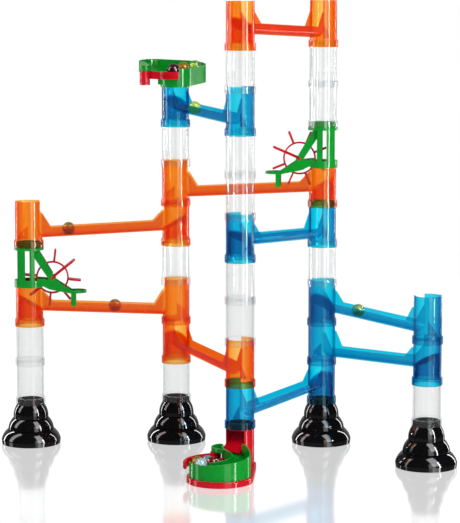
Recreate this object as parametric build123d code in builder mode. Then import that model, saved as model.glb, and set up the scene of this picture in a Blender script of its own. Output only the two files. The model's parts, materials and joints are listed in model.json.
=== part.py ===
from build123d import *
from math import asin, atan2, cos, degrees, radians, sin, sqrt
import os

# A marble run of five towers. Every tower is a stack of tubes one storey high, each collar seated on the
# spigot below it. Chutes join neighbouring towers and drop a little from the sending to the receiving tube.
# The origin is on the table, on the front tower's axis. +Z is up, and X runs from the back left tower to
# the back right one. Levels are counted from 0 at the first collar above the table.

# Driving dimensions, in millimetres and degrees
MARBLE_R = 8.0
PITCH = 50.0
REACH = 185.0
FOOT_HEIGHT = 50.0
TUBE_R = 17.0
WALL = 1.5
COLLAR_R = 18.5
COLLAR_HEIGHT = 9.0
COLLAR_ROUNDING = 0.5
SOCKET_DEPTH = 8.0
SPIGOT_R = 16.8
SOCKET_CLEARANCE = 0.15
SEAT_GAP = 0.05
LAP = 1.0
RUNNING_CLEARANCE = 0.06
LEFT_ARM_ANGLE = 190.0
RIGHT_ARM_ANGLE = -45.0
TRAY_TURN = 4.2

# Sizes that follow from them
BORE_R = TUBE_R - WALL
SOCKET_R = SPIGOT_R + SOCKET_CLEARANCE
TUBE_LENGTH = PITCH + SOCKET_DEPTH - SEAT_GAP

# Chute: heights are above the bottom of its collars, distances are from a tube's axis
CHANNEL_R = 10.2
CHANNEL_HEIGHT = 13.0
CHANNEL_START = 19.0
CHANNEL_END = 12.0
CHANNEL_SLOPE = (CHANNEL_START - CHANNEL_END) / (REACH - 2 * TUBE_R)
SENDER_FIN_REACH = 12.0
SENDER_FIN_TOP = 44.5
RECEIVER_FIN_REACH = 10.5
RECEIVER_FIN_TOP = 43.0
FIN_LAP = 0.5
RAMP_TOP = 41.0
SLEEVE_R = 14.6
SLEEVE_WALL = 1.2
SLEEVE_BOTTOM = 8.5
BRAKE_TOP = 26.0
BRAKE_BOTTOM = 10.5
BRAKE_START = 1.0
BRAKE_THICKNESS = 1.4
BRAKE_CURVE = 1.0

# Foot: each tier is an arc through three points, (radius, height), from its shoulder down to its lower edge
FOOT_TIERS = (
    ((17.2, 50.0), (20.4, 44.0), (22.0, 33.2)),
    ((22.6, 32.4), (27.2, 25.4), (28.8, 18.8)),
    ((29.3, 18.0), (34.8, 11.8), (37.4, 5.4)),
)
FOOT_GROOVE = 0.9
FOOT_BOTTOM_R = 36.8
FOOT_HOLE_R = 12.3
FOOT_HOLLOW = ((15.5, 34.0), (17.5, 31.0), (23.5, 16.5), (25.0, 15.0), (33.5, 3.0), (33.5, 0.0))
SLIM_SPIGOT_R = 15.3
SLIM_SPIGOT_HEIGHT = 7.0
RIB_R = 16.9
RIB_HEIGHT = 6.5
RIB_WIDTH = 1.2
RIB_COUNT = 6

# Paddle wheel and its bracket, measured from the bracket's collar and the tower's axis
WHEEL_X = 29.0
WHEEL_Z = 11.4
WHEEL_R = 36.0
PADDLE_COUNT = 8
PADDLE_WIDTH = 13.0
PADDLE_THICKNESS = 2.3
PADDLE_INNER_R = 19.0
PADDLE_ROUNDING = 3.0
WHEEL_RING_R = 20.5
WHEEL_RING_WALL = 2.0
WHEEL_RING_WIDTH = 5.0
SPOKE_THICKNESS = 3.0
SPOKE_WIDTH = 5.0
HUB_R = 3.4
HUB_WIDTH = 19.6
AXLE_R = 2.0
AXLE_LENGTH = 26.8
NOTCH_WIDTH = 3.7
LEFT_WHEEL_TURN = 38.3
RIGHT_WHEEL_TURN = 23.2
CHEEK_INNER = 10.7
CHEEK_THICKNESS = 2.0
CHEEK_OUTER = CHEEK_INNER + CHEEK_THICKNESS
CHEEK_START = 0.5
NOTCH_ANGLE = 50.0
BRACKET_TOP = 46.8
RING_OPENING = 20.0
POST_R = 15.3
POST_FRONT = 6.8
POST_GAP = 22.0
POST_SLOT = -2.3
POST_SLOT_WIDTH = 5.6
BOSS_WALL = 0.8

# Side view of a cheek, (distance from the tower's axis, height above the bracket's collar)
FALLING_ARM = ((1.0, 50.0), (10.0, 50.0), (34.0, 9.5), (26.3, 6.8), (1.0, 45.4))
LOWER_ARM = ((10.0, 10.9), (32.7, 8.9), (53.7, -5.3), (59.1, -5.1), (59.1, -8.1), (55.7, -9.0),
             (24.7, -2.5), (17.0, 1.5), (10.0, 2.0))
LEG = ((52.4, -5.5), (58.4, -5.5), (58.4, -24.4), (52.4, -24.4))
NOSE_X, NOSE_BOTTOM = LOWER_ARM[4]
NOSE_HEIGHT = LOWER_ARM[3][1] - NOSE_BOTTOM

# Start tray: a tilted pan with an upright collar under its hole, in axes turned by TRAY_TURN
PAN_HEIGHT = 22.0
PAN_DEPTH = 11.0
PAN_WALL = 1.8
PAN_RIM_ZERO = 25.3
PAN_RISE_X = -0.048
PAN_RISE_Y = 0.102
PAN_FRONT_R = 21.5
PAN_BACK_R = 27.0
PAN_BACK_RIGHT = (11.0, 34.0)
PAN_BACK_LEFT = (-20.0, 34.0)
START_HOLE_R = 9.5
GATE = ((5.0, -40.0), (5.0, -10.0), (-20.0, 14.0), (-60.0, 14.0), (-60.0, -40.0))
POST_ROOT = (-43.0, 30.0, 3.0)
SHALLOW_SIDE = ((-45.0, 0.0, 24.5), (-45.0, 50.0, 24.5))

# Lever shared by both trays, heights above its own zero
LEVER_BOTTOM = 9.8
LEVER_HEIGHT = 9.7
LEVER_TOP = LEVER_BOTTOM + LEVER_HEIGHT
LEVER_THICKNESS = 3.0
LEVER_ROUNDING = 0.4
LEVER_GAP = 0.6
BOSS_R = 6.5
BOSS_BOTTOM = 2.0
BOSS_OFFSET = 5.1
PIN_R = 2.5
PIN_TIP = 4.0
PIN_REACH = 17.0
GRIP_RIBS = 9
GRIP_RIB_SPACING = 1.9
GRIP_RIB_SIZE = 0.9
START_STRAIGHT = 25.4
START_LEVER_END = 282.0
START_GRIP = 219.0
FINISH_LEVER_GAP = 2.0
FINISH_TANGENT = 115.0
FINISH_STRAIGHT = 15.6
FINISH_LEVER_END = 184.0
FINISH_GRIP = 160.0

# Finish: a base with the front tower's lowest tube, and a curved tray on it, in the same turned axes
BASE_THICKNESS = 7.0
BASE_R = 39.0
BASE_TUBE_R = 19.5
BASE_ROUNDING = 0.8
TRAY_CENTRE = (-24.0, -67.0)
TRAY_R = 36.5
TRAY_WALL = 1.6
SPOUT_ANGLE = 235.0
SPOUT_LIP = 24.5
SPOUT_REACH = 20.5
SPOUT_TOP = 47.0
SPOUT_OPENING_TOP = 49.0
SPOUT_WIDTH = 27.0
SPOUT_CLEARANCE = 0.3
TRAY_RIM_ZERO = 35.1
TRAY_RISE_X = 0.104
TRAY_RISE_Y = 0.0535
TRACK_FLOOR_ZERO = 24.6
TRACK_FLOOR_RISE = 0.155
TRACK_FLOOR_END = -125.0
OUTER_START = (2.0, -18.8)
OUTER_MIDDLE = (8.6, -38.0)
OUTER_BEND_START = 8.0
OUTER_BEND_END = -168.0
INNER_WALL = ((-20.5, -14.5), (-20.2, -30.0), (-12.0, -52.0), (-9.5, -66.0), (-13.5, -79.0), (-23.5, -86.0),
              (-36.5, -88.5))
LOBE = ((-20.5, -14.5), (-26.0, -8.5), (-32.5, -12.5), (-33.2, -20.0), (-28.0, -28.5), (-18.5, -36.0))
FINISH_RAISE = 5.2
LOBE_BOTTOM = 25.6
PAD_CENTRE = (-35.0, -57.0)
PAD_R = 19.8
PAD_ZERO = 4.48
PAD_RISE = -0.11


def tangent_turn(start, start_r, end, end_r):
    """Angle of the outward normal of the line that touches two circles on their left, seen from the start."""
    distance = sqrt((end[0] - start[0]) ** 2 + (end[1] - start[1]) ** 2)
    heading = degrees(atan2(end[1] - start[1], end[0] - start[0]))
    return heading + 90 + degrees(asin((end_r - start_r) / distance))


def lever_pivot(centre, radius, tangent_angle, straight):
    """Pivot of a lever whose arc runs around a centre and goes straight on from its tangent angle."""
    tangent = radians(tangent_angle)
    reach = radius + BOSS_OFFSET
    return (centre[0] + reach * cos(tangent) + straight * sin(tangent),
            centre[1] + reach * sin(tangent) - straight * cos(tangent))


def step_from(start, angle, distance=REACH):
    """Point at a distance and angle from a point on the table."""
    return (start[0] + distance * cos(radians(angle)), start[1] + distance * sin(radians(angle)))


LEVER_PATH = LEVER_GAP + LEVER_THICKNESS / 2
PAN_TANGENT = tangent_turn((0, 0), PAN_FRONT_R, PAN_BACK_LEFT, PAN_BACK_R)
START_PIVOT = lever_pivot((0, 0), PAN_FRONT_R + LEVER_PATH, PAN_TANGENT, START_STRAIGHT)
START_POST = (*START_PIVOT, BOSS_R)
FINISH_LEVER_R = TRAY_R + LEVER_PATH + FINISH_LEVER_GAP
FINISH_PIVOT = lever_pivot(TRAY_CENTRE, FINISH_LEVER_R, FINISH_TANGENT, FINISH_STRAIGHT)
FRONT = (0.0, 0.0)
BACK_LEFT = step_from(FRONT, 120)
BACK_RIGHT = step_from(FRONT, 60)
LEFT = step_from(BACK_LEFT, LEFT_ARM_ANGLE)
RIGHT = step_from(BACK_RIGHT, RIGHT_ARM_ANGLE)

# What stands where
START_LEVEL = 8
LEFT_BRACKET_LEVEL = 3
RIGHT_BRACKET_LEVEL = 6
CLEAR_TUBES = (
    ("left", LEFT, (0, 1)),
    ("back_left", BACK_LEFT, (0, 3, 6)),
    ("front", FRONT, (2, 3, 5, 6, 8)),
    ("back_right", BACK_RIGHT, (3, 7, 8)),
    ("right", RIGHT, (0,)),
)
CHUTES = (
    ("orange", FRONT, BACK_RIGHT, 9),
    ("blue", BACK_LEFT, FRONT, 7),
    ("orange", BACK_RIGHT, BACK_LEFT, 5),
    ("orange", BACK_LEFT, LEFT, 4),
    ("blue", FRONT, BACK_RIGHT, 4),
    ("orange", LEFT, BACK_LEFT, 2),
    ("blue", BACK_RIGHT, RIGHT, 2),
    ("orange", BACK_LEFT, FRONT, 1),
    ("blue", RIGHT, BACK_RIGHT, 1),
    ("blue", BACK_RIGHT, FRONT, 0),
)
ROLLING_MARBLES = (
    ("lime", BACK_LEFT, FRONT, 7, 57.5),
    ("orange", BACK_LEFT, LEFT, 4, 135.0),
    ("amber", LEFT, BACK_LEFT, 2, 107.5),
    ("blue", BACK_RIGHT, RIGHT, 2, 65.5),
)
START_MARBLES = (("purple", -2.0, -11.5), ("orange", 10.0, 7.0), ("clear", 24.5, 30.0))
FINISH_MARBLES = (("orange", -50.6, -51.3), ("white", -46.2, -66.8), ("teal", -38.3, -40.6),
                  ("ruby", -32.5, -55.8), ("crimson", -21.0, -67.2))


def level_plane(tower, level, facing=0.0):
    """Plane at the bottom of a level's collar, with X along the facing angle."""
    return table_plane(tower, FOOT_HEIGHT + PITCH * level, facing)


def table_plane(tower, height=0.0, facing=0.0):
    """Level plane on a tower's axis at a height above the table."""
    x_dir = (cos(radians(facing)), sin(radians(facing)), 0)
    return Plane(origin=(tower[0], tower[1], height), x_dir=x_dir, z_dir=(0, 0, 1))


def side_plane(place):
    """Upright plane through the axis of a level plane, with the same X, and Y upwards."""
    return Plane(origin=place.origin, x_dir=place.x_dir, z_dir=-place.y_dir)


def angle_between(start, end):
    """Direction from one tower to another, in degrees."""
    return degrees(atan2(end[1] - start[1], end[0] - start[0]))


def tilted_plane(place, height, rise_x, rise_y):
    """Plane through a height on the axis that rises by the given amounts per millimetre."""
    normal = place.z_dir - place.x_dir * rise_x - place.y_dir * rise_y
    return Plane(origin=place.origin + place.z_dir * height, z_dir=normal)


def save(part, name):
    """Label a finished piece and write its STEP file."""
    part.label = name
    export_step(part, f"parts/{name}.step")


def clear_tube(tower, level):
    """Plain tube one storey high, with a collar and socket at its lower end."""
    place = level_plane(tower, level)
    with BuildPart() as tube:
        with BuildSketch(place):
            Circle(COLLAR_R)
        extrude(amount=COLLAR_HEIGHT)
        fillet(tube.edges(), radius=COLLAR_ROUNDING)
        with BuildSketch(place):
            Circle(TUBE_R)
        extrude(amount=PITCH)
        with BuildSketch(place):
            Circle(SPIGOT_R)
        extrude(amount=TUBE_LENGTH)
        with BuildSketch(place):
            Circle(SOCKET_R)
        extrude(amount=SOCKET_DEPTH, mode=Mode.SUBTRACT)
        with BuildSketch(place):
            Circle(BORE_R)
        extrude(amount=TUBE_LENGTH, mode=Mode.SUBTRACT)
    return tube.part


def sender_ramp(place):
    """Sloping plate across the sending tube, down to the channel's floor, with a round sleeve under it."""
    floor = CHANNEL_START + WALL
    with BuildPart() as sleeve:
        with BuildSketch(place.offset(SLEEVE_BOTTOM)):
            Circle(SLEEVE_R)
            Circle(SLEEVE_R - SLEEVE_WALL, mode=Mode.SUBTRACT)
        extrude(amount=PITCH)
        with BuildSketch(side_plane(place)):
            with BuildLine():
                Polyline((-TUBE_R, RAMP_TOP - WALL / 2), (TUBE_R, floor - WALL / 2), (TUBE_R, 0),
                         (-TUBE_R, 0), close=True)
            make_face()
        extrude(amount=TUBE_R, both=True, mode=Mode.INTERSECT)
    with BuildPart() as ramp:
        with BuildSketch(place):
            Circle(BORE_R + WALL / 2)
        extrude(amount=PITCH)
        with BuildSketch(side_plane(place)):
            with BuildLine():
                Polyline((-TUBE_R, RAMP_TOP), (TUBE_R, floor), (TUBE_R, floor - WALL),
                         (-TUBE_R, RAMP_TOP - WALL), close=True)
            make_face()
        extrude(amount=TUBE_R, both=True, mode=Mode.INTERSECT)
        add(sleeve.part)
    return ramp.part


def receiver_brake(place):
    """Upright fin beyond the receiving tube's axis, which stops a marble and lets it drop."""
    start = REACH + BRAKE_START
    end = REACH + BORE_R + WALL / 2
    middle = ((start + end) / 2, (BRAKE_TOP + CHANNEL_END) / 2 + BRAKE_CURVE)
    with BuildPart() as brake:
        with BuildSketch(side_plane(place)):
            with BuildLine():
                Line((end, BRAKE_BOTTOM), (start, BRAKE_BOTTOM))
                Line((start, BRAKE_BOTTOM), (start, BRAKE_TOP))
                ThreePointArc((start, BRAKE_TOP), middle, (end, CHANNEL_END))
                Line((end, CHANNEL_END), (end, BRAKE_BOTTOM))
            make_face()
        extrude(amount=BRAKE_THICKNESS / 2, both=True)
    return brake.part


def channel_height(distance):
    """Height of the channel's underside at a distance from the sending tube's axis."""
    return CHANNEL_START - CHANNEL_SLOPE * (distance - TUBE_R)


def chute(sender, receiver, level):
    """Sending tube, sloping open channel and receiving tube, moulded in one piece."""
    place = level_plane(sender, level, angle_between(sender, receiver))
    side = side_plane(place)
    across = Plane(origin=place.origin, x_dir=place.y_dir, z_dir=place.x_dir)
    downhill = place.x_dir - place.z_dir * CHANNEL_SLOPE
    run = REACH * sqrt(1 + CHANNEL_SLOPE ** 2)
    start = channel_height(0)
    inner_r = CHANNEL_R - WALL
    with BuildPart() as piece:
        with BuildSketch(place):
            with Locations((0, 0), (REACH, 0)):
                Circle(COLLAR_R)
        extrude(amount=COLLAR_HEIGHT)
        fillet(piece.edges(), radius=COLLAR_ROUNDING)
        with BuildSketch(place):
            with Locations((0, 0), (REACH, 0)):
                Circle(TUBE_R)
        extrude(amount=PITCH)
        with BuildSketch(place):
            with Locations((0, 0), (REACH, 0)):
                Circle(SPIGOT_R)
        extrude(amount=TUBE_LENGTH)

        # U-shaped channel from axis to axis
        with BuildSketch(across):
            with Locations((0, start + CHANNEL_R)):
                Circle(CHANNEL_R)
                Rectangle(2 * CHANNEL_R, CHANNEL_HEIGHT - CHANNEL_R, align=(Align.CENTER, Align.MIN))
            with Locations((0, start + CHANNEL_HEIGHT)):
                Rectangle(3 * CHANNEL_R, CHANNEL_R, align=(Align.CENTER, Align.MIN), mode=Mode.SUBTRACT)
        extrude(amount=run, dir=downhill)

        # Fins that carry the channel's sides up each tube
        with BuildSketch(side):
            fin_end = TUBE_R + SENDER_FIN_REACH
            with BuildLine():
                Polyline((0, SENDER_FIN_TOP + 2 * FIN_LAP), (TUBE_R - FIN_LAP, SENDER_FIN_TOP),
                         (fin_end, channel_height(fin_end) + CHANNEL_HEIGHT),
                         (fin_end, channel_height(fin_end) + CHANNEL_R),
                         (0, channel_height(0) + CHANNEL_R), close=True)
            make_face()
            fin_end = REACH - TUBE_R - RECEIVER_FIN_REACH
            with BuildLine():
                Polyline((REACH, RECEIVER_FIN_TOP + 2 * FIN_LAP),
                         (REACH - TUBE_R + FIN_LAP, RECEIVER_FIN_TOP),
                         (fin_end, channel_height(fin_end) + CHANNEL_HEIGHT),
                         (fin_end, channel_height(fin_end) + CHANNEL_R),
                         (REACH, channel_height(REACH) + CHANNEL_R), close=True)
            make_face()
        extrude(amount=CHANNEL_R, both=True)

        # Marble's way along the channel, open to the top, which also slots both tubes up to the rim
        with BuildSketch(across):
            with Locations((0, start + CHANNEL_R)):
                Circle(inner_r)
                Rectangle(2 * inner_r, PITCH + CHANNEL_R, align=(Align.CENTER, Align.MIN))
        extrude(amount=run, dir=downhill, mode=Mode.SUBTRACT)
        with BuildSketch(place):
            with Locations((0, 0), (REACH, 0)):
                Circle(SOCKET_R)
        extrude(amount=SOCKET_DEPTH, mode=Mode.SUBTRACT)
        with BuildSketch(place):
            with Locations((0, 0), (REACH, 0)):
                Circle(BORE_R)
        extrude(amount=TUBE_LENGTH, mode=Mode.SUBTRACT)
        add(sender_ramp(place))
        add(receiver_brake(place))
    return piece.part


def slim_spigot(place, height):
    """Narrow hollow spigot with ribs that centre the socket above it, from a height on its own plane."""
    with BuildPart() as spigot:
        with BuildSketch(place.offset(height)):
            Circle(SLIM_SPIGOT_R)
        extrude(amount=SLIM_SPIGOT_HEIGHT)
        with BuildSketch(place.offset(height)):
            with PolarLocations(0, RIB_COUNT):
                Rectangle(RIB_R, RIB_WIDTH, align=(Align.MIN, Align.CENTER))
        extrude(amount=RIB_HEIGHT)
        with BuildSketch(place.offset(height)):
            Circle(FOOT_HOLE_R)
        extrude(amount=SLIM_SPIGOT_HEIGHT, mode=Mode.SUBTRACT)
    return spigot.part


def foot(tower):
    """Bell-shaped foot of three rounded tiers, hollow underneath, with a slim spigot on top."""
    place = table_plane(tower)
    with BuildPart() as bell:
        with BuildSketch(side_plane(place)):
            with BuildLine():
                Line((0, 0), (0, FOOT_HEIGHT))
                last = (0, FOOT_HEIGHT)
                for shoulder, middle, edge in FOOT_TIERS:
                    if last[0] > 0:
                        groove = (last[0] - FOOT_GROOVE, shoulder[1])
                        Line(last, groove)
                        last = groove
                    Line(last, shoulder)
                    ThreePointArc(shoulder, middle, edge)
                    last = edge
                Line(last, (FOOT_BOTTOM_R, 0))
                Line((FOOT_BOTTOM_R, 0), (0, 0))
            make_face()
        revolve(axis=Axis(place.origin, place.z_dir))
        with BuildSketch(side_plane(place)):
            with BuildLine():
                Polyline((0, 0), (0, FOOT_HEIGHT), (FOOT_HOLE_R, FOOT_HEIGHT),
                         (FOOT_HOLE_R, FOOT_HEIGHT - WALL), *FOOT_HOLLOW, close=True)
            make_face()
        revolve(axis=Axis(place.origin, place.z_dir), mode=Mode.SUBTRACT)
        add(slim_spigot(place, FOOT_HEIGHT))
    return bell.part


def wheel_bracket(tower, level, facing):
    """Open frame one storey high that stands on a chute's sending tube and holds a paddle wheel over it."""
    place = level_plane(tower, level, facing)
    side = side_plane(place)
    ring_height = PITCH - BRACKET_TOP
    with BuildPart() as bracket:
        # Posts between the lower ring and the upper ring, behind the axis
        with BuildSketch(place):
            Circle(COLLAR_R)
            Circle(POST_R, mode=Mode.SUBTRACT)
            with Locations((POST_FRONT, 0)):
                Rectangle(2 * COLLAR_R, 2 * COLLAR_R, align=(Align.MIN, Align.CENTER), mode=Mode.SUBTRACT)
            Rectangle(2 * COLLAR_R, POST_GAP, mode=Mode.SUBTRACT)
            with Locations((POST_SLOT, 0)):
                Rectangle(POST_SLOT_WIDTH, 2 * COLLAR_R, mode=Mode.SUBTRACT)
        extrude(amount=PITCH)

        # Lower ring, open towards the wheel, around the spigot below
        with BuildSketch(place):
            Circle(COLLAR_R)
            Rectangle(2 * COLLAR_R, RING_OPENING, align=(Align.MIN, Align.CENTER), mode=Mode.SUBTRACT)
        extrude(amount=COLLAR_HEIGHT)
        with BuildSketch(place.offset(SOCKET_DEPTH)):
            Circle(POST_R)
        extrude(amount=PITCH, mode=Mode.SUBTRACT)

        # Upper ring
        with BuildSketch(place.offset(BRACKET_TOP)):
            Circle(COLLAR_R)
            Circle(FOOT_HOLE_R, mode=Mode.SUBTRACT)
        extrude(amount=ring_height)

        # Two cheeks: a falling arm from the upper ring, a long lower arm, a boss at the axle and a leg
        with BuildSketch(side):
            for outline in (FALLING_ARM, LOWER_ARM, LEG):
                with BuildLine():
                    Polyline(*outline, close=True)
                make_face()
            with Locations((WHEEL_X, WHEEL_Z)):
                Circle(HUB_R + BOSS_WALL)
        extrude(amount=CHEEK_OUTER, both=True)
        with BuildSketch(place.offset(-PITCH)):
            with Locations((CHEEK_START, 0)):
                Rectangle(2 * REACH, 2 * CHEEK_INNER, align=(Align.MIN, Align.CENTER))
        extrude(amount=PITCH + BRACKET_TOP, mode=Mode.SUBTRACT)

        # The cheeks meet in a round nose beyond the wheel
        with BuildSketch(place.offset(NOSE_BOTTOM)):
            with Locations((NOSE_X, 0)):
                Circle(CHEEK_OUTER)
                Circle(CHEEK_INNER, mode=Mode.SUBTRACT)
                Rectangle(2 * CHEEK_OUTER, 2 * CHEEK_OUTER, align=(Align.MAX, Align.CENTER),
                          mode=Mode.SUBTRACT)
        extrude(amount=NOSE_HEIGHT)

        # Socket for the spigot below
        with BuildSketch(place):
            Circle(SOCKET_R)
        extrude(amount=SOCKET_DEPTH, mode=Mode.SUBTRACT)

        # Open snap notch for the axle in both cheeks
        with BuildSketch(side):
            with Locations((WHEEL_X, WHEEL_Z)):
                Circle(AXLE_R + RUNNING_CLEARANCE)
            with Locations(Location((WHEEL_X, WHEEL_Z), NOTCH_ANGLE)):
                Rectangle(3 * HUB_R, NOTCH_WIDTH, align=(Align.MIN, Align.CENTER))
        extrude(amount=COLLAR_R, both=True, mode=Mode.SUBTRACT)

        # Shaft for falling marbles, and the bore the upper ring leaves
        with BuildSketch(place.offset(BRACKET_TOP)):
            Circle(FOOT_HOLE_R)
        extrude(amount=ring_height + SLIM_SPIGOT_HEIGHT, mode=Mode.SUBTRACT)
        add(slim_spigot(place, PITCH))
    return bracket.part


def wheel(tower, level, facing, turn):
    """Paddle wheel: eight paddles on a thin ring, a cross spoke and a stub axle at each side."""
    side = side_plane(level_plane(tower, level, facing))
    centre = Plane(origin=side.from_local_coords((WHEEL_X, WHEEL_Z, 0)), x_dir=side.x_dir, z_dir=side.z_dir)
    with BuildPart() as paddles:
        with BuildSketch(centre):
            Circle(WHEEL_RING_R)
            Circle(WHEEL_RING_R - WHEEL_RING_WALL, mode=Mode.SUBTRACT)
        extrude(amount=WHEEL_RING_WIDTH / 2, both=True)
        with BuildSketch(centre):
            with Locations(Rotation(0, 0, turn)):
                Rectangle(2 * WHEEL_RING_R - WHEEL_RING_WALL, SPOKE_THICKNESS)
        extrude(amount=SPOKE_WIDTH / 2, both=True)
        with BuildSketch(centre):
            with PolarLocations(PADDLE_INNER_R, PADDLE_COUNT, start_angle=turn):
                Rectangle(WHEEL_R - PADDLE_INNER_R, PADDLE_THICKNESS, align=(Align.MIN, Align.CENTER))
        extrude(amount=PADDLE_WIDTH / 2, both=True)
        corners = paddles.edges().filter_by(lambda edge: (edge.center() - centre.origin).length > WHEEL_R)
        fillet(corners.filter_by(lambda edge: edge.length < 2 * PADDLE_THICKNESS), radius=PADDLE_ROUNDING)
        with BuildSketch(centre):
            Circle(HUB_R)
        extrude(amount=HUB_WIDTH / 2, both=True)
        with BuildSketch(centre):
            Circle(AXLE_R)
        extrude(amount=AXLE_LENGTH / 2, both=True)
    return paddles.part


def marble(centre):
    """Glass marble."""
    with BuildPart() as ball:
        with Locations(centre):
            Sphere(MARBLE_R)
    return ball.part


def rolling_marble(sender, receiver, level, distance):
    """Marble resting in a chute at a distance from the sending tube's axis."""
    place = level_plane(sender, level, angle_between(sender, receiver))
    height = channel_height(distance) + WALL + MARBLE_R + 2 * SEAT_GAP
    return marble(place.from_local_coords((distance, 0, height)))


def hull_of(place, circles, inset=0.0):
    """Rounded outline around circles given as (x, y, radius), each pulled in by an inset."""
    with BuildSketch(place) as outline:
        for x, y, radius in circles:
            with Locations((x, y)):
                Circle(radius - inset)
        make_hull()
    return outline.sketch


def under_plane(place, outline_circles, inset, top, depth):
    """Upright prism inside an outline, cut off between a tilted plane and a depth below it."""
    with BuildPart() as prism:
        extrude(hull_of(place.offset(-PITCH), outline_circles, inset), amount=3 * PITCH)
        split(bisect_by=top, keep=Keep.BOTTOM)
        split(bisect_by=top.offset(-depth), keep=Keep.TOP)
    return prism.part


def start_tray(place):
    """Tilted pan for the waiting marbles, with a hole over the tower and an open side for the lever."""
    circles = ((0, 0, PAN_FRONT_R), (*PAN_BACK_RIGHT, PAN_BACK_R), (*PAN_BACK_LEFT, PAN_BACK_R))
    rim = tilted_plane(place, PAN_RIM_ZERO, PAN_RISE_X, PAN_RISE_Y)
    floor = rim.offset(-PAN_DEPTH)
    with BuildPart() as collar:
        with BuildSketch(place):
            Circle(COLLAR_R)
        extrude(amount=PAN_HEIGHT)
        split(bisect_by=floor, keep=Keep.BOTTOM)
    with BuildPart() as gateway:
        with BuildSketch(place.offset(-PITCH)):
            with BuildLine():
                Polyline(*GATE, close=True)
            make_face()
        extrude(amount=3 * PITCH)
        split(bisect_by=floor, keep=Keep.TOP)
    with BuildPart() as post:
        extrude(hull_of(place.offset(LEVER_TOP + LEVER_GAP), (START_POST, POST_ROOT)), amount=PITCH)
        split(bisect_by=rim, keep=Keep.BOTTOM)
    with BuildPart() as tray:
        add(under_plane(place, circles, 0, rim, PAN_HEIGHT))
        add(under_plane(place, circles, PAN_WALL, rim.offset(LAP), PAN_DEPTH + LAP), mode=Mode.SUBTRACT)
        add(under_plane(place, circles, PAN_WALL, floor.offset(-PAN_WALL), PAN_HEIGHT), mode=Mode.SUBTRACT)
        add(under_plane(place, SHALLOW_SIDE, 0, floor.offset(-PAN_WALL), PAN_HEIGHT), mode=Mode.SUBTRACT)
        add(gateway.part, mode=Mode.SUBTRACT)
        add(collar.part)
        add(post.part)
        with BuildSketch(place.offset(PIN_TIP)):
            with Locations(START_PIVOT):
                Circle(PIN_R)
        extrude(amount=LEVER_TOP + 2 * LEVER_GAP - PIN_TIP)
        with BuildSketch(place):
            Circle(SOCKET_R)
        extrude(amount=SOCKET_DEPTH, mode=Mode.SUBTRACT)
        with BuildSketch(place):
            Circle(START_HOLE_R)
        extrude(amount=PITCH, mode=Mode.SUBTRACT)
    return tray.part


def lever(place, centre, radius, end_angle, tangent_angle, straight, grip_angle, hole):
    """Curved gate lever: an arc, a straight run and a boss beside it, with grip ribs on the outside."""
    base = place.offset(LEVER_BOTTOM)
    along = Vector(1, 0).rotate(Axis.Z, tangent_angle - 90)
    outward = Vector(1, 0).rotate(Axis.Z, tangent_angle)
    tangent_point = Vector(*centre) + outward * radius
    straight_end = tangent_point + along * straight
    pivot = straight_end + outward * BOSS_OFFSET
    rib_step = degrees(GRIP_RIB_SPACING / radius)
    with BuildPart() as piece:
        with BuildSketch(base):
            with BuildLine():
                CenterArc(centre, radius, end_angle, tangent_angle - end_angle)
                Line(tangent_point, straight_end)
            trace(line_width=LEVER_THICKNESS)
        extrude(amount=LEVER_HEIGHT)
        with BuildSketch(base.offset(GRIP_RIB_SIZE)):
            with Locations(centre):
                with PolarLocations(radius + LEVER_THICKNESS / 2, GRIP_RIBS, grip_angle,
                                    rib_step * (GRIP_RIBS - 1), endpoint=True):
                    Rectangle(2 * GRIP_RIB_SIZE, GRIP_RIB_SIZE)
        extrude(amount=LEVER_HEIGHT - 2 * GRIP_RIB_SIZE)
        with BuildSketch(place.offset(BOSS_BOTTOM)):
            with Locations(pivot):
                Circle(BOSS_R)
        extrude(amount=LEVER_TOP - BOSS_BOTTOM)
        with BuildSketch(place.offset(hole[0])):
            with Locations(pivot):
                Circle(PIN_R + RUNNING_CLEARANCE)
        extrude(amount=hole[1] - hole[0], mode=Mode.SUBTRACT)
        rims = piece.faces().filter_by(Axis.Z).sort_by(Axis.Z)[-1].edges().filter_by(GeomType.CIRCLE)
        fillet(rims.sort_by(SortBy.RADIUS)[-1:], radius=LEVER_ROUNDING)
    return piece.part


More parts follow.
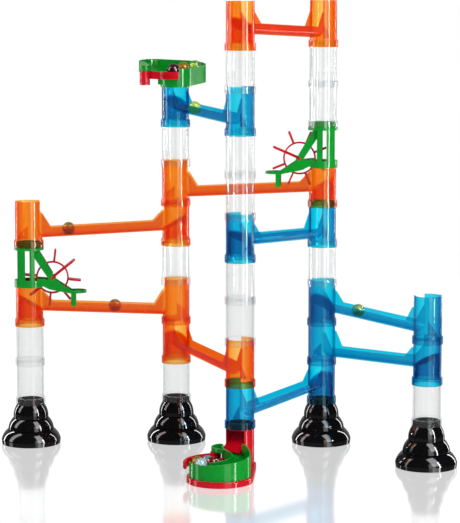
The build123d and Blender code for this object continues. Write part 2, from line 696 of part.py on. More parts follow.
def finish_base(place):
    """Base plate with the lowest tube of the front tower, whose ramp turns the marbles out to one side."""
    spout = table_plane(FRONT, 0, TRAY_TURN + SPOUT_ANGLE)
    pad = tilted_plane(place, PAD_ZERO, 0, PAD_RISE)
    with BuildPart() as ramp:
        with BuildSketch(spout):
            Circle(BORE_R + WALL / 2)
            Rectangle(SPOUT_REACH, SPOUT_WIDTH, align=(Align.MIN, Align.CENTER))
        extrude(amount=FOOT_HEIGHT)
        with BuildSketch(side_plane(spout)):
            with BuildLine():
                Polyline((-TUBE_R, SPOUT_TOP), (SPOUT_REACH, SPOUT_LIP), (SPOUT_REACH, SPOUT_LIP - WALL),
                         (-TUBE_R, SPOUT_TOP - WALL), close=True)
            make_face()
        extrude(amount=TUBE_R, both=True, mode=Mode.INTERSECT)
    with BuildPart() as base:
        extrude(hull_of(place, ((0, 0, BASE_TUBE_R), (*TRAY_CENTRE, BASE_R))), amount=BASE_THICKNESS)
        fillet(base.faces().sort_by(Axis.Z)[-1].edges(), radius=BASE_ROUNDING)
        add(under_plane(place, ((*PAD_CENTRE, PAD_R),), 0, pad, BASE_THICKNESS))
        with BuildSketch(place):
            Circle(TUBE_R)
        extrude(amount=FOOT_HEIGHT)
        with BuildSketch(place.offset(BASE_THICKNESS)):
            Circle(BORE_R)
        extrude(amount=FOOT_HEIGHT, mode=Mode.SUBTRACT)
        with BuildSketch(spout.offset(SPOUT_LIP)):
            Rectangle(TUBE_R + WALL, SPOUT_WIDTH, align=(Align.MIN, Align.CENTER))
        extrude(amount=SPOUT_OPENING_TOP - SPOUT_LIP, mode=Mode.SUBTRACT)
        add(ramp.part)
        with BuildSketch(place.offset(BASE_THICKNESS - LAP)):
            with Locations(FINISH_PIVOT):
                Circle(PIN_R)
        extrude(amount=FINISH_RAISE + PIN_REACH - BASE_THICKNESS + LAP)
        with BuildSketch(place.offset(FOOT_HEIGHT - LAP)):
            Circle(BORE_R + WALL / 2)
            Circle(FOOT_HOLE_R, mode=Mode.SUBTRACT)
        extrude(amount=LAP)
        add(slim_spigot(place, FOOT_HEIGHT))
    return base.part


def finish_tray(place):
    """Track on the base: a tall outer wall, an S-shaped inner wall, a lobe over the lever and a floor."""
    rim = tilted_plane(place, TRAY_RIM_ZERO, TRAY_RISE_X, TRAY_RISE_Y)
    floor = tilted_plane(place, TRACK_FLOOR_ZERO, 0, TRACK_FLOOR_RISE)
    bottom = place.offset(BASE_THICKNESS + SEAT_GAP)
    spout = table_plane(FRONT, SPOUT_LIP - WALL - SPOUT_CLEARANCE, TRAY_TURN + SPOUT_ANGLE)
    path_r = TRAY_R - TRAY_WALL / 2
    bend_start = Vector(*TRAY_CENTRE) + Vector(path_r, 0).rotate(Axis.Z, OUTER_BEND_START)
    floor_end = Vector(*TRAY_CENTRE) + Vector(path_r, 0).rotate(Axis.Z, TRACK_FLOOR_END)
    with BuildPart() as track:
        with BuildSketch(bottom):
            with BuildLine():
                ThreePointArc(OUTER_START, OUTER_MIDDLE, bend_start)
                CenterArc(TRAY_CENTRE, path_r, OUTER_BEND_START, TRACK_FLOOR_END - OUTER_BEND_START)
                Line(floor_end, INNER_WALL[-1])
                Spline(*reversed(INNER_WALL))
                Line(INNER_WALL[0], OUTER_START)
            make_face()
        extrude(amount=PITCH)
        split(bisect_by=floor, keep=Keep.BOTTOM)
        split(bisect_by=floor.offset(-WALL), keep=Keep.TOP)
    with BuildPart() as lobe:
        with BuildSketch(place.offset(LOBE_BOTTOM)):
            with BuildLine():
                Spline(*LOBE)
                Line(LOBE[-1], LOBE[0])
            make_face()
        extrude(amount=WALL)
        with BuildSketch(place.offset(LOBE_BOTTOM)):
            with BuildLine():
                Spline(*LOBE)
            trace(line_width=TRAY_WALL)
        extrude(amount=PITCH)
    with BuildPart() as tray:
        with BuildSketch(bottom):
            with BuildLine():
                ThreePointArc(OUTER_START, OUTER_MIDDLE, bend_start)
                CenterArc(TRAY_CENTRE, path_r, OUTER_BEND_START, OUTER_BEND_END - OUTER_BEND_START)
            trace(line_width=TRAY_WALL)
        extrude(amount=PITCH)
        with BuildSketch(bottom):
            with BuildLine():
                Spline(*INNER_WALL)
            trace(line_width=TRAY_WALL)
        extrude(amount=PITCH)
        add(lobe.part)
        split(bisect_by=rim, keep=Keep.BOTTOM)
        add(track.part)
        with BuildSketch(spout):
            Rectangle(SPOUT_REACH + SPOUT_CLEARANCE, SPOUT_WIDTH + 2 * SPOUT_CLEARANCE,
                      align=(Align.MIN, Align.CENTER))
        extrude(amount=PITCH, mode=Mode.SUBTRACT)
    return tray.part


os.makedirs("parts", exist_ok=True)

# Feet and clear tubes
for foot_name, tower in (("left", LEFT), ("back_left", BACK_LEFT), ("back_right", BACK_RIGHT),
                         ("right", RIGHT)):
    save(foot(tower), f"{foot_name}_foot")
for tower_name, tower, levels in CLEAR_TUBES:
    for level in levels:
        save(clear_tube(tower, level), f"{tower_name}_tube_{level}")

# Chutes, from the top down
for colour, sender, receiver, level in CHUTES:
    save(chute(sender, receiver, level), f"{colour}_chute_level_{level}")

# Paddle wheels in their brackets
left_facing = angle_between(LEFT, BACK_LEFT)
right_facing = angle_between(BACK_RIGHT, BACK_LEFT)
save(wheel_bracket(LEFT, LEFT_BRACKET_LEVEL, left_facing), "left_wheel_bracket")
save(wheel(LEFT, LEFT_BRACKET_LEVEL, left_facing, LEFT_WHEEL_TURN), "left_wheel")
save(wheel_bracket(BACK_RIGHT, RIGHT_BRACKET_LEVEL, right_facing), "right_wheel_bracket")
save(wheel(BACK_RIGHT, RIGHT_BRACKET_LEVEL, right_facing, RIGHT_WHEEL_TURN), "right_wheel")

# Start tray on the back left tower, and the finish under the front tower
start_place = level_plane(BACK_LEFT, START_LEVEL, TRAY_TURN)
start_hole = (BOSS_BOTTOM + WALL, LEVER_TOP + WALL)
finish_place = table_plane(FRONT, 0, TRAY_TURN)
finish_hole = (BOSS_BOTTOM - WALL, LEVER_TOP - WALL)
save(start_tray(start_place), "start_tray")
save(lever(start_place, (0, 0), PAN_FRONT_R + LEVER_PATH, START_LEVER_END, PAN_TANGENT, START_STRAIGHT,
           START_GRIP, start_hole), "start_lever")
save(finish_base(finish_place), "finish_base")
save(finish_tray(finish_place), "finish_tray")
save(lever(finish_place.offset(FINISH_RAISE), TRAY_CENTRE, FINISH_LEVER_R, FINISH_LEVER_END, FINISH_TANGENT,
           FINISH_STRAIGHT, FINISH_GRIP, finish_hole), "finish_lever")

# Marbles on their way down, waiting at the start and collected at the finish
for colour, sender, receiver, level, distance in ROLLING_MARBLES:
    save(rolling_marble(sender, receiver, level, distance), f"rolling_marble_{colour}")
for colour, x, y in START_MARBLES:
    height = PAN_RIM_ZERO - PAN_DEPTH + PAN_RISE_X * x + PAN_RISE_Y * y + MARBLE_R + 2 * SEAT_GAP
    save(marble(start_place.from_local_coords((x, y, height))), f"start_marble_{colour}")
for colour, x, y in FINISH_MARBLES:
    height = PAD_ZERO + PAD_RISE * y + MARBLE_R + 2 * SEAT_GAP
    save(marble(finish_place.from_local_coords((x, y, height))), f"finish_marble_{colour}")
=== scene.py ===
import json
from math import cos, pi, radians, sin

import bpy
from mathutils import Matrix, Vector


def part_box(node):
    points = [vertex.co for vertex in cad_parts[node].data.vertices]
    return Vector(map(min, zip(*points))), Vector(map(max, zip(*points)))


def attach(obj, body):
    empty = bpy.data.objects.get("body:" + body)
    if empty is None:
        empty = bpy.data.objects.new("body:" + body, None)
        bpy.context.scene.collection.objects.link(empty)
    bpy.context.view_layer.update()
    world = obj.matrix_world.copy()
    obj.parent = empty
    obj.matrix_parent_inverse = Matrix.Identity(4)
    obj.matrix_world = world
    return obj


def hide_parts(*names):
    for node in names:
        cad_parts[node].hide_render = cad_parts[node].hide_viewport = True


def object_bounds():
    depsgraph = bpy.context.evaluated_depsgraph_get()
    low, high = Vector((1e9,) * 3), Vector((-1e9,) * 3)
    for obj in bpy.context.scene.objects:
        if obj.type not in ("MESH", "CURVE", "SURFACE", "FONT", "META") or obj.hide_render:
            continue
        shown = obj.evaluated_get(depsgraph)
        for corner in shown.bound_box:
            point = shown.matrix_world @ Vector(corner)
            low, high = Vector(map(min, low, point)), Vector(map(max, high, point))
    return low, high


# A marble run of clear, orange and blue tubes, chutes and trays. Lengths are in metres, angles in degrees.
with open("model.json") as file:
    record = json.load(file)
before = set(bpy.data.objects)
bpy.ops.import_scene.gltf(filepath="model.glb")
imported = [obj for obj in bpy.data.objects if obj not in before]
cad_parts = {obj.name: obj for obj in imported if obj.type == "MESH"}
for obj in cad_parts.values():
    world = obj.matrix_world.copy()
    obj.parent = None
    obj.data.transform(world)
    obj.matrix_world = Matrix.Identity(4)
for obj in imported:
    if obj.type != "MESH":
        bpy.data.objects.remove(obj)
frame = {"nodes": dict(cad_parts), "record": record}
nodes = frame["nodes"]
record = frame["record"]
cad_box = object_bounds()
MIDDLE = (cad_box[0] + cad_box[1]) / 2
BODY_OF = {node: body for body, members in record["behaviour"]["bodies"].items() for node in members}
SLOT_OF = {entry["node"]: entry["material_slot"] for entry in record["subparts"]}


def axis_of(node_name):
    """Point on the floor under the middle of an upright piece."""
    low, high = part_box(node_name)
    return ((low.x + high.x) / 2, (low.y + high.y) / 2, 0)


TOWER_AXES = [axis_of(name) for name in ("left_foot", "back_left_foot", "front_tube_2", "back_right_foot",
                                         "right_foot")]


# ---------------------------------------------------------------- shader helpers

# How late a mirror gathers towards an outline
FRESNEL = 5.0


class Shader:
    """Small wrapper that adds and links the nodes of one material, or of the world."""

    def __init__(self, owner, output="ShaderNodeOutputMaterial"):
        self.owner = owner
        self.owner.use_nodes = True
        self.tree = self.owner.node_tree
        self.tree.nodes.clear()
        self.output = self.tree.nodes.new(output)

    def put(self, socket, value):
        """Give a socket a link or a plain value."""
        if isinstance(value, bpy.types.NodeSocket):
            self.tree.links.new(value, socket)
        elif value is not None:
            socket.default_value = value

    def node(self, kind, inputs=None, **settings):
        """Add a node, with its settings and its inputs by name or number."""
        made = self.tree.nodes.new(kind)
        for name, value in settings.items():
            setattr(made, name, value)
        for name, value in (inputs or {}).items():
            self.put(made.inputs[name], value)
        return made

    def math(self, operation, first, second=None, clamp=False):
        """Result of one arithmetic step."""
        made = self.node("ShaderNodeMath", {0: first, 1: second}, operation=operation, use_clamp=clamp)
        return made.outputs[0]

    def noise(self, scale, detail, distortion=0.0):
        """Noise between 0 and 1 in the row frame."""
        place = self.node("ShaderNodeTexCoord").outputs["Object"]
        inputs = {"Vector": place, "Scale": scale, "Detail": detail, "Distortion": distortion}
        return self.node("ShaderNodeTexNoise", inputs).outputs["Fac"]

    def spread(self, value, low, high):
        """Map 0 to 1 onto low to high."""
        made = self.node("ShaderNodeMapRange", {"Value": value, "To Min": low, "To Max": high})
        return made.outputs["Result"]

    def rise(self, value, low, high, first=0.0):
        """Go up from a first level to one as the value goes from low to high."""
        inputs = {"Value": value, "From Min": low, "From Max": high, "To Min": first}
        return self.node("ShaderNodeMapRange", inputs).outputs["Result"]

    def blend(self, factor, first, second):
        """Mix two colours."""
        made = self.node("ShaderNodeMix", {"Factor": factor}, data_type="RGBA")
        self.put(made.inputs["A"], first)
        self.put(made.inputs["B"], second)
        return made.outputs["Result"]

    def mix(self, factor, first, second):
        """Mix two shaders."""
        return self.node("ShaderNodeMixShader", {0: factor, 1: first, 2: second}).outputs[0]

    def bump(self, height, distance):
        """Normal from a height between 0 and 1 over a distance."""
        return self.node("ShaderNodeBump", {"Height": height, "Distance": distance}).outputs["Normal"]

    def facing(self, normal=None):
        """Nought where the surface faces the viewer, one at its outline."""
        return self.node("ShaderNodeLayerWeight", {"Blend": 0.5, "Normal": normal}).outputs["Facing"]

    def mirror(self, facing, flat, edge):
        """Share of mirror: a flat one, and more towards the outline."""
        return self.math("ADD", flat, self.math("MULTIPLY", self.math("POWER", facing, FRESNEL), edge))

    def glossy(self, roughness, normal=None):
        """Mirror-like reflection."""
        return self.node("ShaderNodeBsdfGlossy", {"Roughness": roughness, "Normal": normal}).outputs[0]

    def clear(self, colour):
        """See-through layer that tints the light."""
        return self.node("ShaderNodeBsdfTransparent", {"Color": colour}).outputs[0]

    def matt(self, colour, normal=None):
        """Plain paint."""
        return self.node("ShaderNodeBsdfDiffuse", {"Color": colour, "Normal": normal}).outputs[0]

    def milky(self, colour, normal=None):
        """Cloudy layer that is lit from both of its sides."""
        glow = self.node("ShaderNodeBsdfTranslucent", {"Color": colour, "Normal": normal}).outputs[0]
        return self.mix(0.5, self.matt(colour, normal), glow)

    def close(self, surface):
        """Link the finished surface and return the material or the world."""
        self.put(self.output.inputs["Surface"], surface)
        return self.owner


def rgba(red, green, blue):
    """Colour from sRGB values between 0 and 255, as linear numbers."""
    def linear(value):
        share = value / 255
        return share / 12.92 if share <= 0.04045 else ((share + 0.055) / 1.055) ** 2.4
    return (linear(red), linear(green), linear(blue), 1.0)


def grey(level):
    """Neutral colour from one linear number."""
    return (level, level, level, 1.0)


# ---------------------------------------------------------------- tinted plastic

# A chute's channel begins this far from the axis of a tower, just outside the collars
CHANNEL_FROM = 0.0186
CHANNEL_FULL = 0.0192
# How deep the tint gets where a wall is seen along its length, on tubes and on channels
EDGE_DEPTH = 1.25
GRAZING_LIMIT = 0.12
CHANNEL_GRAZING_LIMIT = 0.5
# Share of mirror on every surface, and what outlines add to it
TINTED_MIRROR = 0.04
TUBE_EDGE_MIRROR = 0.4
CHANNEL_EDGE_MIRROR = 0.15
# Flow marks: how far they darken the haze and change its share
HAZE_DARKEST = 0.85
HAZE_UNEVEN = 0.15
TINTED_RIPPLE = 0.00004


def beyond_towers(shader):
    """One on the chutes' channels, nought on the upright tubes and collars."""
    place = shader.node("ShaderNodeTexCoord").outputs["Object"]
    flat = shader.node("ShaderNodeVectorMath", {0: place, 1: (1, 1, 0)}, operation="MULTIPLY").outputs[0]
    nearest = None
    for axis in TOWER_AXES:
        gap = shader.node("ShaderNodeVectorMath", {0: flat, 1: axis}, operation="DISTANCE")
        distance = gap.outputs["Value"]
        nearest = distance if nearest is None else shader.math("MINIMUM", nearest, distance)
    return shader.rise(nearest, CHANNEL_FROM, CHANNEL_FULL)


def tinted_plastic(name, tint, haze_colour, haze, channel_depth=1.0, channel_haze=0.0):
    """Transparent moulding: each surface holds half a wall's tint, deeper where it is seen along the wall."""
    shader = Shader(bpy.data.materials.new(name))
    facing = shader.facing()
    channel = beyond_towers(shader)
    limit = shader.spread(channel, GRAZING_LIMIT, CHANNEL_GRAZING_LIMIT)
    cosine = shader.math("MAXIMUM", shader.math("SUBTRACT", 1.0, facing), limit)
    path = shader.math("DIVIDE", 0.5, shader.math("POWER", cosine, EDGE_DEPTH))
    path = shader.math("MULTIPLY", path, shader.spread(channel, 1.0, channel_depth))
    seen = shader.node("ShaderNodeCombineColor", {i: shader.math("POWER", tint[i], path) for i in range(3)})
    flow = shader.noise(scale=70.0, detail=3.0)
    waves = shader.bump(shader.noise(scale=160.0, detail=2.0, distortion=0.6), TINTED_RIPPLE)
    dark = [value * HAZE_DARKEST for value in haze_colour[:3]] + [1]
    uneven = shader.spread(flow, 1 - HAZE_UNEVEN, 1 + HAZE_UNEVEN)
    share = shader.math("MULTIPLY", uneven, shader.spread(channel, haze, channel_haze))
    cloud = shader.milky(shader.blend(flow, dark, haze_colour), waves)
    body = shader.mix(share, shader.clear(seen.outputs[0]), cloud)
    edge_mirror = shader.spread(channel, TUBE_EDGE_MIRROR, CHANNEL_EDGE_MIRROR)
    mirror = shader.mirror(facing, TINTED_MIRROR, edge_mirror)
    shine = shader.glossy(shader.spread(flow, low=0.02, high=0.06), waves)
    return shader.close(shader.mix(mirror, body, shine))


# ---------------------------------------------------------------- moulded plastic

MOULDED_MIRROR = 0.05


def moulded_plastic(name, colour, deep, roughness=0.12, edge_mirror=0.25, skin=0.00002):
    """Opaque glossy injection-moulded plastic with faint flow marks and a fine skin."""
    shader = Shader(bpy.data.materials.new(name))
    flow = shader.noise(scale=38.0, detail=4.0, distortion=0.8)
    uneven = shader.bump(shader.noise(scale=420.0, detail=3.0), skin)
    mirror = shader.mirror(shader.facing(uneven), MOULDED_MIRROR, edge_mirror)
    shine = shader.glossy(shader.spread(flow, low=roughness * 0.8, high=roughness * 1.25), uneven)
    return shader.close(shader.mix(mirror, shader.matt(shader.blend(flow, deep, colour), uneven), shine))


# ---------------------------------------------------------------- marble glass

# How sharply the painted light of a marble's upper side turns into the painted shade of its lower side, and
# how far the wisps bend that line
TINT_TURN = 0.15
WISP_BEND = 0.5
# Painted shade that darkens a marble towards its outline: how fast it gathers and how dark it gets
RIM_FALL = 4.0
RIM_DARKNESS = 0.7
MARBLE_MIRROR = 0.08
MARBLE_EDGE_MIRROR = 0.3


def marble_glass(name, lit_upper_tint, shaded_lower_tint, cloud):
    """Marble glass: clear, with painted light and shade that turns it from a lighter upper tint to a darker
    lower one and darkens its outline, with cloudy wisps and a smooth skin.
    """
    shader = Shader(bpy.data.materials.new(name))
    facing = shader.facing()
    wisps = shader.noise(scale=240.0, detail=3.0, distortion=1.5)
    normal = shader.node("ShaderNodeNewGeometry").outputs["Normal"]
    height = shader.node("ShaderNodeSeparateXYZ", {"Vector": normal}).outputs["Z"]
    bent = shader.math("ADD", height, shader.spread(wisps, -WISP_BEND, WISP_BEND))
    # Painted light and shade: the tint is lighter where the surface faces up and darker where it faces down,
    # whichever way the marble is turned
    tone = shader.blend(shader.rise(bent, -TINT_TURN, TINT_TURN), shaded_lower_tint, lit_upper_tint)
    # Painted shade: the tint darkens towards the outline
    shade = shader.math("MULTIPLY", shader.math("POWER", facing, RIM_FALL), RIM_DARKNESS)
    seen = shader.blend(shader.math("SUBTRACT", 1.0, shade), grey(0.0), tone)
    cloudy = shader.math("MULTIPLY", shader.spread(wisps, low=0.4, high=1.6), cloud, clamp=True)
    body = shader.mix(cloudy, shader.clear(seen), shader.milky(tone))
    mirror = shader.mirror(facing, MARBLE_MIRROR, MARBLE_EDGE_MIRROR)
    return shader.close(shader.mix(mirror, body, shader.glossy(shader.spread(wisps, low=0.01, high=0.04))))


def ribbon_glass(name, first, second):
    """Opaque streaked ribbon inside a marble, which glows a little so that it shows through the glass."""
    shader = Shader(bpy.data.materials.new(name))
    streaks = shader.noise(scale=520.0, detail=2.0, distortion=2.0)
    tone = shader.blend(shader.rise(streaks, low=0.4, high=0.6), first, second)
    inputs = {"Base Color": tone, "Roughness": 0.25, "Emission Color": tone, "Emission Strength": 0.3}
    return shader.close(shader.node("ShaderNodeBsdfPrincipled", inputs).outputs[0])


# ---------------------------------------------------------------- carried-over CAD pieces

# Share of light that one wall lets through, in red, green and blue
CLEAR_TINT = (0.955, 0.96, 0.96)
ORANGE_TINT = (0.965, 0.53, 0.12)
BLUE_TINT = (0.03, 0.67, 0.83)

MATERIALS = {
    "clear_plastic": tinted_plastic("clear_plastic", CLEAR_TINT, rgba(225, 228, 230), haze=0.02),
    "orange_plastic": tinted_plastic("orange_plastic", ORANGE_TINT, rgba(250, 120, 95), haze=0.04,
                                     channel_depth=1.3, channel_haze=0.15),
    "blue_plastic": tinted_plastic("blue_plastic", BLUE_TINT, rgba(0, 130, 190), haze=0.03,
                                   channel_depth=0.85, channel_haze=0.05),
    "green_plastic": moulded_plastic("green_plastic", rgba(0, 140, 38), rgba(0, 126, 33)),
    "red_plastic": moulded_plastic("red_plastic", rgba(196, 10, 30), rgba(178, 6, 24)),
    "black_plastic": moulded_plastic("black_plastic", rgba(10, 9, 11), rgba(5, 5, 6), roughness=0.08,
                                     edge_mirror=0.35, skin=0.000004),
}

for node_name, obj in nodes.items():
    slot = SLOT_OF[node_name]
    if slot in MATERIALS:
        obj.data.materials.clear()
        obj.data.materials.append(MATERIALS[slot])


# ---------------------------------------------------------------- marbles

MARBLE_R = 0.008
# The drawn glass and its ribbons, as shares of a marble's radius
GLASS_SIZE = 0.998
RIBBON_SIZE = 0.9
# How far a poured marble is out of round, as a share of its radius
OUT_OF_ROUND = 0.004
# Shape of one ribbon, in shares of its radius
RIBBON_THICKNESS = 0.07
RIBBON_END = 0.82
RIBBON_REACH = 0.86
RIBBON_STRETCH = 0.95
RIBBON_SWAY = 0.12
SWAY_SHIFT = 2.2
SECOND_TILT = 1.7
# How the ribbons of one marble are set, and how far each marble is turned from the one before
RIBBONS = 3
RIBBON_TWIST = 70
TURN_STEP = 40
FIRST_TILT = 25
TILT_STEP = 31


def new_piece(name, vertices, faces, material, smooth=True):
    """Mesh object from its vertices and faces."""
    mesh = bpy.data.meshes.new(name)
    mesh.from_pydata(vertices, [], faces)
    mesh.validate()
    mesh.update()
    for polygon in mesh.polygons:
        polygon.use_smooth = smooth
    obj = bpy.data.objects.new(name, mesh)
    bpy.context.scene.collection.objects.link(obj)
    obj.data.materials.append(material)
    return obj


def glass_ball(name, centre, radius, material, segments=48, rings=24):
    """Fine glass sphere, very slightly out of round as a poured marble is."""
    vertices = [centre + Vector((0, 0, radius))]
    for ring in range(1, rings):
        polar = pi * ring / rings
        for segment in range(segments):
            turn = 2 * pi * segment / segments
            squash = 1 - OUT_OF_ROUND * (1 + sin(3 * turn + 5 * polar))
            direction = Vector((sin(polar) * cos(turn), sin(polar) * sin(turn), cos(polar)))
            vertices.append(centre + direction * radius * squash)
    vertices.append(centre - Vector((0, 0, radius)))
    last = len(vertices) - 1
    faces = [(0, 1 + s, 1 + (s + 1) % segments) for s in range(segments)]
    for ring in range(rings - 2):
        start = 1 + ring * segments
        for s in range(segments):
            t = (s + 1) % segments
            faces.append((start + s, start + segments + s, start + segments + t, start + t))
    start = 1 + (rings - 2) * segments
    faces += [(last, start + (s + 1) % segments, start + s) for s in range(segments)]
    return new_piece(name, vertices, faces, material)


def ribbon(name, centre, radius, turn, tilt, material, steps=28, across=8):
    """Twisted glass ribbon that fans out from a marble's axis, with two faces and a real thickness."""
    thickness = radius * RIBBON_THICKNESS
    spin = Matrix.Rotation(radians(tilt), 3, "X") @ Matrix.Rotation(radians(tilt * SECOND_TILT), 3, "Y")
    vertices = []
    for side in (-0.5, 0.5):
        for step in range(steps + 1):
            along = RIBBON_END * (2 * step / steps - 1)
            reach = RIBBON_REACH * (1 - along * along) ** 0.5
            angle = radians(turn + RIBBON_TWIST * along)
            outward = Vector((cos(angle), sin(angle), 0))
            sideways = Vector((-sin(angle), cos(angle), 0))
            for part in range(across + 1):
                share = part / across
                sway = sin(pi * share + SWAY_SHIFT * along) * RIBBON_SWAY
                point = outward * reach * share * radius + sideways * (sway * radius + side * thickness)
                vertices.append(centre + spin @ (point + Vector((0, 0, along * radius * RIBBON_STRETCH))))
    row = across + 1
    sheet = row * (steps + 1)
    faces = []
    for step in range(steps):
        for part in range(across):
            a = step * row + part
            faces.append((a, a + 1, a + row + 1, a + row))
            faces.append((sheet + a + row, sheet + a + row + 1, sheet + a + 1, sheet + a))
    rim = list(range(row))
    rim += [s * row + across for s in range(1, steps + 1)]
    rim += [steps * row + p for p in range(across - 1, -1, -1)]
    rim += [s * row for s in range(steps - 1, 0, -1)]
    for here, there in zip(rim, rim[1:] + rim[:1]):
        faces.append((there, here, sheet + here, sheet + there))
    return new_piece(name, vertices, faces, material)


# Marble looks: lighter upper and darker lower tint, which are the marble's own colour with painted light and
# shade on it, share of cloud, the two ribbon colours
MARBLE_LOOKS = {
    "lime": (rgba(240, 252, 225), rgba(225, 228, 40), 0.25, rgba(240, 230, 0), rgba(60, 170, 30)),
    "orange": (rgba(255, 214, 40), rgba(70, 34, 8), 0.30, rgba(255, 190, 0), rgba(120, 30, 0)),
    "amber": (rgba(255, 205, 120), rgba(150, 80, 20), 0.25, rgba(255, 170, 30), rgba(60, 20, 8)),
    "blue": (rgba(225, 245, 245), rgba(150, 180, 60), 0.15, rgba(20, 100, 120), rgba(255, 230, 0)),
    "purple": (rgba(120, 50, 75), rgba(60, 8, 28), 0.45, rgba(80, 5, 30), rgba(30, 0, 14)),
    "clear": (rgba(240, 255, 235), rgba(190, 230, 120), 0.12, rgba(245, 225, 20), rgba(60, 170, 50)),
    "white": (rgba(245, 255, 255), rgba(185, 225, 225), 0.30, rgba(252, 254, 252), rgba(20, 140, 150)),
    "teal": (rgba(215, 245, 250), rgba(110, 185, 200), 0.30, rgba(20, 120, 150), rgba(245, 250, 250)),
    "ruby": (rgba(205, 30, 42), rgba(120, 0, 12), 0.35, rgba(150, 0, 14), rgba(50, 0, 4)),
    "crimson": (rgba(200, 24, 36), rgba(110, 0, 10), 0.35, rgba(140, 0, 12), rgba(40, 0, 3)),
}

for index, node_name in enumerate(sorted(n for n in nodes if "_marble_" in n)):
    lit_upper_tint, shaded_lower_tint, cloud, first, second = MARBLE_LOOKS[node_name.split("_")[-1]]
    corner, far_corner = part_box(node_name)
    centre = (corner + far_corner) / 2
    skin = marble_glass(f"{node_name}_glass", lit_upper_tint, shaded_lower_tint, cloud)
    glass = glass_ball(f"{node_name}_glass", centre, MARBLE_R * GLASS_SIZE, skin)
    colours = ribbon_glass(f"{node_name}_ribbon", first, second)
    pieces = [glass]
    for blade in range(RIBBONS):
        turn = 360 / RIBBONS * blade + TURN_STEP * index
        pieces.append(ribbon(f"{node_name}_ribbon_{blade}", centre, MARBLE_R * RIBBON_SIZE, turn,
                             FIRST_TILT + TILT_STEP * index, colours))
    for piece in pieces:
        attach(piece, BODY_OF[node_name])
    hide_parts(node_name)


# ---------------------------------------------------------------- studio

# The camera's turn is about the vertical, and its dip is below the horizontal; its lens and sensor are in mm
CAMERA_PLACE = Vector((0.1714, -2.4982, 0.575))
CAMERA_TURN = 4.2
CAMERA_DIP = 7.378
CAMERA_LENS = 146.4
CAMERA_SENSOR = 36.0
# The floor's glow is weaker where it is seen in another surface, so that the plastic keeps its colour
FLOOR_HALF_SIZE = 12.0
FLOOR_LEVEL = -0.0005
FLOOR_GLOW = 1.2
FLOOR_GLOW_IN_SHINE = 0.25
FLOOR_GLOW_SHARE = 0.9
FLOOR_MIRROR = 0.44
FLOOR_BLUR = 0.09
# Brightness of the room, and where its backdrop begins and is full, as the cosine of the angle from dead ahead
ROOM_LEVEL = 0.04
BACKDROP_EDGE = 0.55
BACKDROP_FULL = 0.85


def add_camera():
    """Camera a little above the object's top, looking slightly down at it."""
    data = bpy.data.cameras.new("camera")
    data.sensor_width = CAMERA_SENSOR
    data.lens = CAMERA_LENS
    camera = bpy.data.objects.new("camera", data)
    bpy.context.scene.collection.objects.link(camera)
    camera.location = CAMERA_PLACE
    camera.rotation_euler = (radians(90 - CAMERA_DIP), 0, radians(CAMERA_TURN))
    bpy.context.scene.camera = camera


def around(angle, distance, height):
    """Place at an angle to the right of the camera, seen from the middle of the object."""
    turn = radians(-90 + CAMERA_TURN + angle)
    return Vector((MIDDLE.x + distance * cos(turn), MIDDLE.y + distance * sin(turn), height))


def soft_box(name, place, width, height, power, lights=True, shines=True):
    """Rectangular lamp that faces the object; it may light surfaces, be seen in reflections, or both."""
    data = bpy.data.lights.new(name, "AREA")
    data.shape = "RECTANGLE"
    data.size = width
    data.size_y = height
    data.energy = power
    lamp = bpy.data.objects.new(name, data)
    bpy.context.scene.collection.objects.link(lamp)
    lamp.location = place
    lamp.rotation_euler = (MIDDLE - place).to_track_quat("-Z", "Y").to_euler()
    lamp.visible_diffuse = lights
    lamp.visible_glossy = shines
    lamp.visible_camera = False


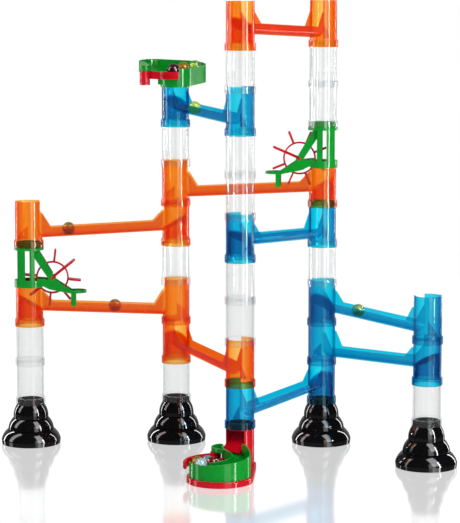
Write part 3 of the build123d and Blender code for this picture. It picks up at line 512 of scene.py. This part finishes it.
def white_floor():
    """Pale polished floor that glows a little, so that it stays white, with a faint mirror image."""
    shader = Shader(bpy.data.materials.new("floor_paint"))
    tone = shader.blend(shader.noise(scale=6.0, detail=2.0), grey(0.93), grey(0.96))
    in_shine = shader.node("ShaderNodeLightPath").outputs["Is Glossy Ray"]
    strength = shader.spread(in_shine, FLOOR_GLOW, FLOOR_GLOW_IN_SHINE)
    glow = shader.node("ShaderNodeEmission", {"Color": tone, "Strength": strength}).outputs[0]
    mirror = shader.node("ShaderNodeBsdfGlossy", {"Roughness": FLOOR_BLUR, "Color": grey(1.0)}).outputs[0]
    paint = shader.mix(FLOOR_GLOW_SHARE, shader.matt(tone), glow)
    surface = shader.close(shader.mix(FLOOR_MIRROR, paint, mirror))
    corners = [Vector((x * FLOOR_HALF_SIZE, y * FLOOR_HALF_SIZE, FLOOR_LEVEL))
               for x, y in ((-1, -1), (1, -1), (1, 1), (-1, 1))]
    new_piece("floor", corners, [(0, 1, 2, 3)], surface, smooth=False)


def white_room():
    """Dim room with a bright backdrop behind the object; whatever the camera sees directly is white."""
    shader = Shader(bpy.data.worlds.new("white_room"), "ShaderNodeOutputWorld")
    place = shader.node("ShaderNodeTexCoord").outputs["Generated"]
    turn = radians(90 + CAMERA_TURN)
    ahead = (cos(turn), sin(turn), 0)
    forward = shader.node("ShaderNodeVectorMath", {0: place, 1: ahead}, operation="DOT_PRODUCT")
    backdrop = shader.rise(forward.outputs["Value"], BACKDROP_EDGE, BACKDROP_FULL, first=ROOM_LEVEL)
    seen = shader.node("ShaderNodeLightPath").outputs["Is Camera Ray"]
    inputs = {"Color": grey(1.0), "Strength": shader.math("MAXIMUM", backdrop, seen)}
    bpy.context.scene.world = shader.close(shader.node("ShaderNodeBackground", inputs).outputs[0])


def add_studio():
    """Soft boxes to both sides and above, and narrow strips that only draw highlights."""
    soft_box("key", around(40, 1.20, 1.25), width=0.75, height=1.6, power=26)
    soft_box("front_right", around(27, 1.45, 0.45), width=0.60, height=1.1, power=5.5)
    soft_box("side", around(-88, 1.2, 0.85), width=0.35, height=1.3, power=9)
    soft_box("fill", around(-40, 1.7, 0.60), width=0.5, height=1.0, power=4, shines=False)
    soft_box("top", around(0, 0.0, 1.9), width=0.8, height=0.8, power=5, shines=False)
    soft_box("strip_right", around(54, 1.4, 0.45), width=0.09, height=1.3, power=16, lights=False)
    soft_box("rim_right", around(126, 1.3, 0.45), width=0.08, height=1.3, power=10, lights=False)
    soft_box("rim_left", around(-122, 1.3, 0.45), width=0.08, height=1.3, power=12, lights=False)


add_camera()
white_floor()
white_room()
add_studio()
scene = bpy.context.scene
scene.view_settings.view_transform = "Standard"
scene.cycles.transparent_max_bounces = 64
scene.cycles.max_bounces = 12
scene.cycles.transmission_bounces = 10
scene.cycles.sample_clamp_indirect = 4.0
